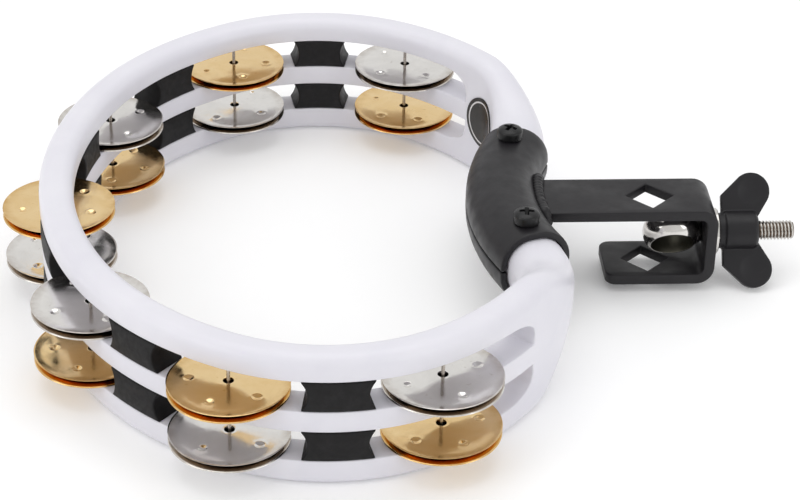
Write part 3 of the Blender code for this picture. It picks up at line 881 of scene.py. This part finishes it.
def rounded_section(width, bottom, top, radius, steps):
    half = width / 2.0
    points = []
    for out, z, start in ((half - radius, bottom + radius, -90.0), (half - radius, top - radius, 0.0),
                          (radius - half, top - radius, 90.0), (radius - half, bottom + radius, 180.0)):
        points += arc(out, z, radius, start, start + 90.0, steps)
    return points


def handle_section(grow, steps):
    """The grip bar's section, grown on all sides."""
    half_h = HANDLE_H / 2.0 + grow
    return rounded_section(HANDLE_W + 2.0 * grow, HANDLE_Z - half_h, HANDLE_Z + half_h,
                           HANDLE_R + grow, steps)


def screw_places():
    """The two screws stand on the grip bar's middle line."""
    x = HANDLE_X + HANDLE_BOW_R - math.sqrt(HANDLE_BOW_R ** 2 - SCREW_Y ** 2)
    return ((x, -SCREW_Y), (x, SCREW_Y))


def make_shell(name, upper, mat):
    """Half shell of the saddle, bent round the grip bar, with its two screw holes."""
    steps = 9
    outer = handle_section(GAP + SHELL_T, steps)
    inner = handle_section(GAP, steps)
    count = len(outer)
    first = count // 4 if upper else 3 * count // 4
    picks = [k % count for k in range(first, first + count // 2)]
    edge_z = HANDLE_Z + (GAP if upper else -GAP)
    profile = [(outer[picks[0]][0], edge_z)] + [outer[k] for k in picks] + [(outer[picks[-1]][0], edge_z)]
    profile += [(inner[picks[-1]][0], edge_z)] + [inner[k] for k in reversed(picks)]
    profile.append((inner[picks[0]][0], edge_z))
    rings = []
    for offset in spread(-SADDLE_HALF, SADDLE_HALF, 36):
        s = HALF_LENGTH - abs(offset)
        rings.append([wall_point(s if offset >= 0.0 else -s, out, z) for out, z in profile])
    bm = bmesh.new()
    skin(bm, rings)
    shell = plain_object("pressed_" + name, bm)
    add_bevel(shell, 0.55 * MM, 3, 50.0)
    holes = bmesh.new()
    for place in screw_places():
        prism(holes, place, SCREW_HOLE_R, 0.0, FRAME_H, 32)
    cutter = plain_object(name + "_holes", holes)
    add_boolean(shell, cutter, "DIFFERENCE")
    bake(shell, (cutter,), 45)
    finish_piece(shell, mat, "frame", [name])


def cross_recess(top):
    """Cross-shaped tapering tool for the screw heads."""
    bm = bmesh.new()
    for turn in (0.0, math.pi / 2.0):
        rings = []
        for z, long, short in ((top - 2.4 * MM, 1.1 * MM, 0.45 * MM),
                               (top + 0.5 * MM, 3.2 * MM, 0.85 * MM)):
            corners = ((long, short), (-long, short), (-long, -short), (long, -short))
            rings.append([Matrix.Rotation(turn, 3, "Z") @ Vector((x, y, z)) for x, y in corners])
        skin(bm, rings)
    return bm


def make_screws(mat):
    """Pan-head screws with a crowned head and a cross recess."""
    seat = HANDLE_Z + HANDLE_H / 2.0 + GAP + SHELL_T + 0.1 * MM
    tip = HANDLE_Z - HANDLE_H / 2.0 - GAP - SHELL_T - 1.0 * MM
    crown = [(SCREW_HEAD_R * (0.82 * math.cos(a) + 0.18 * math.cos(a) ** 0.5),
              SCREW_HEAD_H * (SCREW_SIDE + (1.0 - SCREW_SIDE) * math.sin(a)))
             for a in spread(0.0, math.pi / 2.0 - 0.001, 10)]
    profile = [(0.0, tip - seat), (SCREW_R - 0.5 * MM, tip - seat), (SCREW_R, tip - seat + 0.5 * MM),
               (SCREW_R, 0.0), (SCREW_HEAD_R - 0.25 * MM, 0.0), (SCREW_HEAD_R, 0.25 * MM)] + crown[:-1]
    profile.append((0.0, SCREW_HEAD_H))
    for number, (x, y) in enumerate(screw_places(), start=1):
        bm = bmesh.new()
        turned(bm, profile, 48)
        screw = plain_object(f"pan_head_screw_{number}", bm)
        cutter = plain_object("cross_tool", cross_recess(SCREW_HEAD_H))
        mod_mesh = cutter.modifiers.new("Join", "REMESH")
        mod_mesh.mode = "VOXEL"
        mod_mesh.voxel_size = 0.12 * MM
        add_boolean(screw, cutter, "DIFFERENCE")
        bake(screw, (cutter,), 32)
        screw.data.transform(Matrix.Translation((x, y, seat)) @ Matrix.Rotation(0.5 + number, 4, "Z"))
        finish_piece(screw, mat, "frame", [f"clamp_screw_{number}"])


# ---------------- arm

def arm_profile():
    """Side outline of the bent bar, as (x, z)."""
    inner_r = BEND_R - ARM_T
    bend_x = ARM_END_X - BEND_R
    high = ARM_TOP_Z - BEND_R
    low = LEG_BOTTOM_Z + BEND_R
    outline = [(ARM_START_X, ARM_TOP_Z)]
    outline += arc(bend_x, high, BEND_R, 90.0, 0.0, 9)
    outline += arc(bend_x, low, BEND_R, 0.0, -90.0, 9)
    outline += [(LEG_END_X, LEG_BOTTOM_Z), (LEG_END_X, LEG_BOTTOM_Z + ARM_T)]
    outline += arc(bend_x, low, inner_r, -90.0, 0.0, 9)
    outline += arc(bend_x, high, inner_r, 0.0, 90.0, 9)
    outline += [(ARM_START_X, ARM_TOP_Z - ARM_T)]
    return outline


def make_arm(mat):
    """Bent flat bar with diamond holes, a bolt hole and softened edges."""
    outline = arm_profile()
    bm = bmesh.new()
    skin(bm, [[(x, y, z) for x, z in outline] for y in (-ARM_W / 2.0, ARM_W / 2.0)])
    free = [e for e in bm.edges if all(abs(v.co.x - LEG_END_X) < 1e-6 for v in e.verts)
            and abs(e.verts[0].co.z - e.verts[1].co.z) > MM]
    bmesh.ops.bevel(bm, geom=free, offset=4.0 * MM, segments=6, profile=0.5, affect="EDGES")
    arm = plain_object("bent_arm", bm)
    holes = bmesh.new()
    prism(holes, (DIAMOND_X, 0.0), DIAMOND_HALF, 0.0, FRAME_H, 4)
    diamond = plain_object("diamond_tool", holes)
    bolt_hole = bmesh.new()
    along_x(bolt_hole, ARM_END_X - 2.0 * ARM_T, ARM_END_X + ARM_T, BOLT_HOLE_R, 32)
    drill = plain_object("bolt_hole_tool", bolt_hole)
    add_boolean(arm, diamond, "DIFFERENCE")
    add_boolean(arm, drill, "DIFFERENCE")
    add_bevel(arm, 0.55 * MM, 3, 40.0)
    bake(arm, (diamond, drill), 40)
    finish_piece(arm, mat, "frame", ["clamp_arm"])


def saddle_surface_x(y, z):
    """X of the saddle's outer face on the clamp side, at a given y and z."""
    radius = HANDLE_R + GAP + SHELL_T
    half_w = HANDLE_W / 2.0 + GAP + SHELL_T
    half_h = HANDLE_H / 2.0 + GAP + SHELL_T
    rise = max(abs(z - HANDLE_Z) - (half_h - radius), 0.0)
    out = half_w - radius + math.sqrt(max(radius ** 2 - rise ** 2, 0.0))
    reach = HANDLE_BOW_R - out
    return HANDLE_X + HANDLE_BOW_R - math.sqrt(reach ** 2 - y ** 2)


def make_weld(mat):
    """Rippled weld bead where the arm meets the saddle, all round the bar."""
    half_w = ARM_W / 2.0 + WELD_OUT
    high = ARM_TOP_Z + WELD_OUT
    low = ARM_TOP_Z - ARM_T - WELD_OUT
    corner = 1.2 * MM
    route = []
    for cy, cz, start in ((half_w - corner, high - corner, 0.0), (corner - half_w, high - corner, 90.0),
                          (corner - half_w, low + corner, 180.0), (half_w - corner, low + corner, 270.0)):
        route += arc(cy, cz, corner, start, start + 90.0, 5)
    dense = []
    for (y0, z0), (y1, z1) in zip(route, route[1:] + route[:1]):
        pieces = max(1, round(math.hypot(y1 - y0, z1 - z0) / (0.35 * MM)))
        dense += [(mix(y0, y1, k / pieces), mix(z0, z1, k / pieces)) for k in range(pieces)]
    points = [Vector((saddle_surface_x(y, z) + 0.9 * MM, y, z)) for y, z in dense]
    rings = []
    travelled = 0.0
    for k, point in enumerate(points):
        ahead = points[(k + 1) % len(points)]
        direction = (ahead - points[k - 1]).normalized()
        side = direction.cross(Vector((1.0, 0.0, 0.0))).normalized()
        up = side.cross(direction)
        ripple = abs(math.sin(travelled / WELD_RIPPLE * math.pi))
        radius = WELD_R + 0.30 * MM * ripple + 0.45 * MM * noise.noise(point * 450.0)
        circle = [2.0 * math.pi * j / 14 for j in range(14)]
        rings.append([point + (side * math.cos(a) + up * math.sin(a)) * radius for a in circle])
        travelled += (ahead - point).length
    bm = bmesh.new()
    skin(bm, rings, closed_loop=True)
    add_piece("weld_bead", bm, mat, "frame", [], 60)


# ---------------- eye bolt, washer, wing nut

def thread_radius(x, angle):
    """Radius of the threaded shank: a rounded V that climbs one pitch per turn."""
    phase = (x / THREAD_PITCH - angle / (2.0 * math.pi)) % 1.0
    groove = 1.0 - abs(2.0 * phase - 1.0)
    groove = smoothstep(0.12, 0.92, groove)
    return BOLT_R - THREAD_DEPTH * groove


def make_eye_bolt(mat):
    """Barrel-shaped eye with a flared neck and a threaded shank."""
    profile = []
    for t in spread(-1.0, 1.0, 20):
        bulge = (EYE_R - EYE_HOLE_R - 0.55 * MM) * abs(t) ** 2.4
        profile.append((EYE_R - bulge, EYE_HALF_H * t))
    hole = [(EYE_HOLE_R + 0.15 * MM, EYE_HALF_H), (EYE_HOLE_R, EYE_HALF_H - 0.3 * MM)]
    profile += hole + [(r, -z) for r, z in reversed(hole)]
    bm = bmesh.new()
    turned(bm, profile, 96)
    bm.transform(Matrix.Translation((EYE_X, 0.0, BOLT_Z)) @ Matrix.Rotation(EYE_TURN, 4, "X"))
    eye = plain_object("eye_bolt_body", bm)
    start = EYE_X + EYE_HOLE_R + 1.2 * MM
    sides = 32
    steps = round((BOLT_END_X - THREAD_FROM_X) / (THREAD_PITCH / 8.0))
    rings = []
    stations = spread(start, THREAD_FROM_X, 10) + spread(THREAD_FROM_X, BOLT_END_X, steps)[1:]
    for x in stations:
        flare = 1.3 * MM * (1.0 - smoothstep(start, start + 2.6 * MM, x))
        into_thread = smoothstep(THREAD_FROM_X, THREAD_FROM_X + THREAD_PITCH, x)
        chamfer = 0.7 * MM * max(0.0, 1.0 - (BOLT_END_X - x) / (0.9 * MM))
        ring = []
        for k in range(sides):
            angle = 2.0 * math.pi * k / sides
            radius = mix(BOLT_R - 0.12 * MM, thread_radius(x, angle), into_thread) + flare
            radius = min(radius, BOLT_R - chamfer + flare)
            ring.append((x, radius * math.cos(angle), BOLT_Z + radius * math.sin(angle)))
        rings.append(ring)
    shank_mesh = bmesh.new()
    skin(shank_mesh, rings)
    shank = plain_object("shank_tool", shank_mesh)
    add_boolean(eye, shank, "UNION")
    bake(eye, (shank,), 42)
    finish_piece(eye, mat, "eye_bolt", ["eye_bolt"])


def make_washer(mat):
    edge = 0.25 * MM
    profile = [(BOLT_HOLE_R, edge), (BOLT_HOLE_R + edge, 0.0), (WASHER_R - edge, 0.0), (WASHER_R, edge),
               (WASHER_R, WASHER_T - edge), (WASHER_R - edge, WASHER_T),
               (BOLT_HOLE_R + edge, WASHER_T), (BOLT_HOLE_R, WASHER_T - edge)]
    bm = bmesh.new()
    turned(bm, profile, 80)
    bm.transform(on_bolt_axis(ARM_END_X + GAP))
    add_piece("flat_washer", bm, mat, "frame", ["clamp_washer"], 30)


def wing_outline():
    """Half outline of the wings, as (x, distance from the bolt's axis)."""
    lobe_x, lobe_z, lobe_r = WING_LOBE
    root_x = ARM_END_X + WING_ROOT
    outline = [(HUB_END_X - 2.5 * MM, 0.0)]
    outline += arc(lobe_x, lobe_z, lobe_r, -35.0, 125.0, 22)
    outline += [(root_x, 13.0 * MM), (root_x, 0.0)]
    return outline


def make_wing_nut(mat):
    """Cast nut: collared hub, two dished wings and softly filleted roots."""
    hub_x = ARM_END_X + 2.0 * GAP + WASHER_T
    collar = 2.3 * MM
    hub = bmesh.new()
    collar_r = HUB_R - 0.7 * MM
    long = HUB_END_X - hub_x
    outline = [(0.0, 0.0), (collar_r - 0.3 * MM, 0.0), (collar_r, 0.3 * MM), (collar_r, collar),
               (HUB_R, collar + 0.5 * MM), (HUB_R, long - 1.2 * MM), (HUB_R - 1.1 * MM, long), (0.0, long)]
    turned(hub, outline, 64)
    hub.transform(on_bolt_axis(hub_x))
    nut = plain_object("cast_wing_nut", hub)
    upper = wing_outline()
    full = upper + [(x, -z) for x, z in reversed(upper[1:-1])]
    place = Matrix.Translation((0.0, 0.0, BOLT_Z)) @ Matrix.Rotation(WING_TURN, 4, "X")
    plate = bmesh.new()
    skin(plate, [[(x, side * WING_T, z) for x, z in full] for side in (-0.5, 0.5)])
    plate.transform(place)
    wings = plain_object("wing_tool", plate)
    dish_depth = 0.55 * MM
    dish_reach = WING_LOBE[2] - 1.7 * MM
    ball_r = (dish_reach ** 2 + dish_depth ** 2) / (2.0 * dish_depth)
    dishes = []
    for lobe, side in ((-1.0, -1.0), (-1.0, 1.0), (1.0, -1.0), (1.0, 1.0)):
        ball = bmesh.new()
        bmesh.ops.create_icosphere(ball, subdivisions=5, radius=ball_r)
        offset = side * (WING_T / 2.0 - dish_depth + ball_r)
        ball.transform(place @ Matrix.Translation((WING_LOBE[0], offset, lobe * WING_LOBE[1])))
        dishes.append(plain_object("dish_tool", ball))
        add_boolean(wings, dishes[-1], "DIFFERENCE")
    bake(wings, dishes, 40)
    add_boolean(nut, wings, "UNION")
    blend = nut.modifiers.new("Cast", "REMESH")
    blend.mode = "VOXEL"
    blend.voxel_size = 0.3 * MM
    soften = nut.modifiers.new("Soften", "SMOOTH")
    soften.factor = 0.5
    soften.iterations = 7
    bake(nut, (wings,), 60)
    bore_mesh = bmesh.new()
    along_x(bore_mesh, hub_x - MM, HUB_END_X + MM, BOLT_HOLE_R, 48)
    bore = plain_object("bore_tool", bore_mesh)
    add_boolean(nut, bore, "DIFFERENCE")
    bake(nut, (bore,), 60)
    finish_piece(nut, mat, "wing_nut", ["wing_nut"])


# ---------------- studio

def make_floor():
    bm = bmesh.new()
    bmesh.ops.create_grid(bm, x_segments=1, y_segments=1, size=6.0)
    floor = plain_object("studio_floor", bm)
    floor.location.z = FLOOR_Z
    floor.data.materials.append(floor_paint())


def add_area(name, place, target, size, power, tint):
    light = bpy.data.lights.new(name, "AREA")
    light.shape = "RECTANGLE"
    light.size = size[0]
    light.size_y = size[1]
    light.energy = power
    light.color = tint
    lamp = bpy.data.objects.new(name, light)
    lamp.location = place
    lamp.rotation_euler = (Vector(target) - Vector(place)).to_track_quat("-Z", "Y").to_euler()
    bpy.context.collection.objects.link(lamp)


def make_studio():
    """White tent: an even dome with a soft top box and two side boxes."""
    world = bpy.data.worlds.new("studio")
    bpy.context.scene.world = world
    world.use_nodes = True
    background = world.node_tree.nodes["Background"]
    background.inputs["Color"].default_value = (1.0, 1.0, 1.0, 1.0)
    background.inputs["Strength"].default_value = 0.80
    add_area("top_box", (-0.1, 0.15, 1.3), (0.0, 0.0, 0.0), (1.3, 1.1), 4.5, (1.0, 1.0, 1.0))
    add_area("left_box", (-1.3, -0.6, 0.9), (0.0, 0.0, 0.02), (0.8, 0.8), 3.0, (1.0, 0.99, 0.97))
    add_area("right_box", (1.2, -0.9, 0.7), (0.0, 0.0, 0.02), (0.7, 0.7), 2.0, (0.97, 0.98, 1.0))


def make_camera():
    """Camera in front of the instrument and above it, slightly rolled."""
    camera = bpy.data.cameras.new("camera")
    camera.sensor_width = 36.0
    camera.lens = CAMERA_LENS
    camera.clip_start = 0.01
    camera.clip_end = 30.0
    shooter = bpy.data.objects.new("camera", camera)
    level = math.cos(CAMERA_ELEVATION)
    away = Vector((math.sin(CAMERA_AZIMUTH) * level, -math.cos(CAMERA_AZIMUTH) * level,
                   math.sin(CAMERA_ELEVATION)))
    right = Vector((math.cos(CAMERA_AZIMUTH), math.sin(CAMERA_AZIMUTH), 0.0))
    up = away.cross(right)
    rolled_right = right * math.cos(CAMERA_ROLL) + up * math.sin(CAMERA_ROLL)
    rolled_up = up * math.cos(CAMERA_ROLL) - right * math.sin(CAMERA_ROLL)
    turn = Matrix((rolled_right, rolled_up, away)).transposed().to_4x4()
    shooter.matrix_world = Matrix.Translation(CAMERA_TARGET + away * CAMERA_DISTANCE) @ turn
    bpy.context.collection.objects.link(shooter)
    bpy.context.scene.camera = shooter


def main():
    coated = coated_steel("coated_steel", (0.0100, 0.0090, 0.0108), 0.34, 0.50)
    chrome = bright_metal("chrome_steel", *CHROME, 0.07, 0.22, 0.12)
    # The last colour of each jingle metal is the painted shade in the gap between a pair's discs.
    gold = jingle_metal("gold_brass", (0.93, 0.70, 0.38), (0.87, 0.62, 0.30), (0.62, 0.36, 0.11),
                        (0.60, 0.30, 0.065))
    silver = jingle_metal("nickel_silver", (0.86, 0.84, 0.81), (0.78, 0.76, 0.73), (0.50, 0.44, 0.38),
                          (0.38, 0.32, 0.26))
    make_ring(white_plastic())
    make_posts(post_plastic())
    make_pins(bright_metal("pin_steel", (0.55, 0.50, 0.45), (0.40, 0.36, 0.32), 0.2, 0.4, 0.15))
    make_jingles(gold, silver)
    make_label(label_film("label_black", (0.010, 0.010, 0.010), (0.018, 0.017, 0.017)),
               label_film("label_pale", (0.62, 0.60, 0.60), (0.72, 0.70, 0.70)))
    make_shell("saddle_upper", True, coated)
    make_shell("saddle_lower", False, coated)
    make_screws(coated_steel("black_screw", (0.006, 0.006, 0.0065), 0.24, 0.38))
    make_arm(coated)
    make_weld(coated)
    make_eye_bolt(bolt_steel())
    make_washer(chrome)
    make_wing_nut(coated_steel("cast_black", (0.0076, 0.0068, 0.0086), 0.34, 0.5))
    make_floor()
    make_studio()
    make_camera()
    bpy.context.scene.view_settings.view_transform = "Standard"


main()
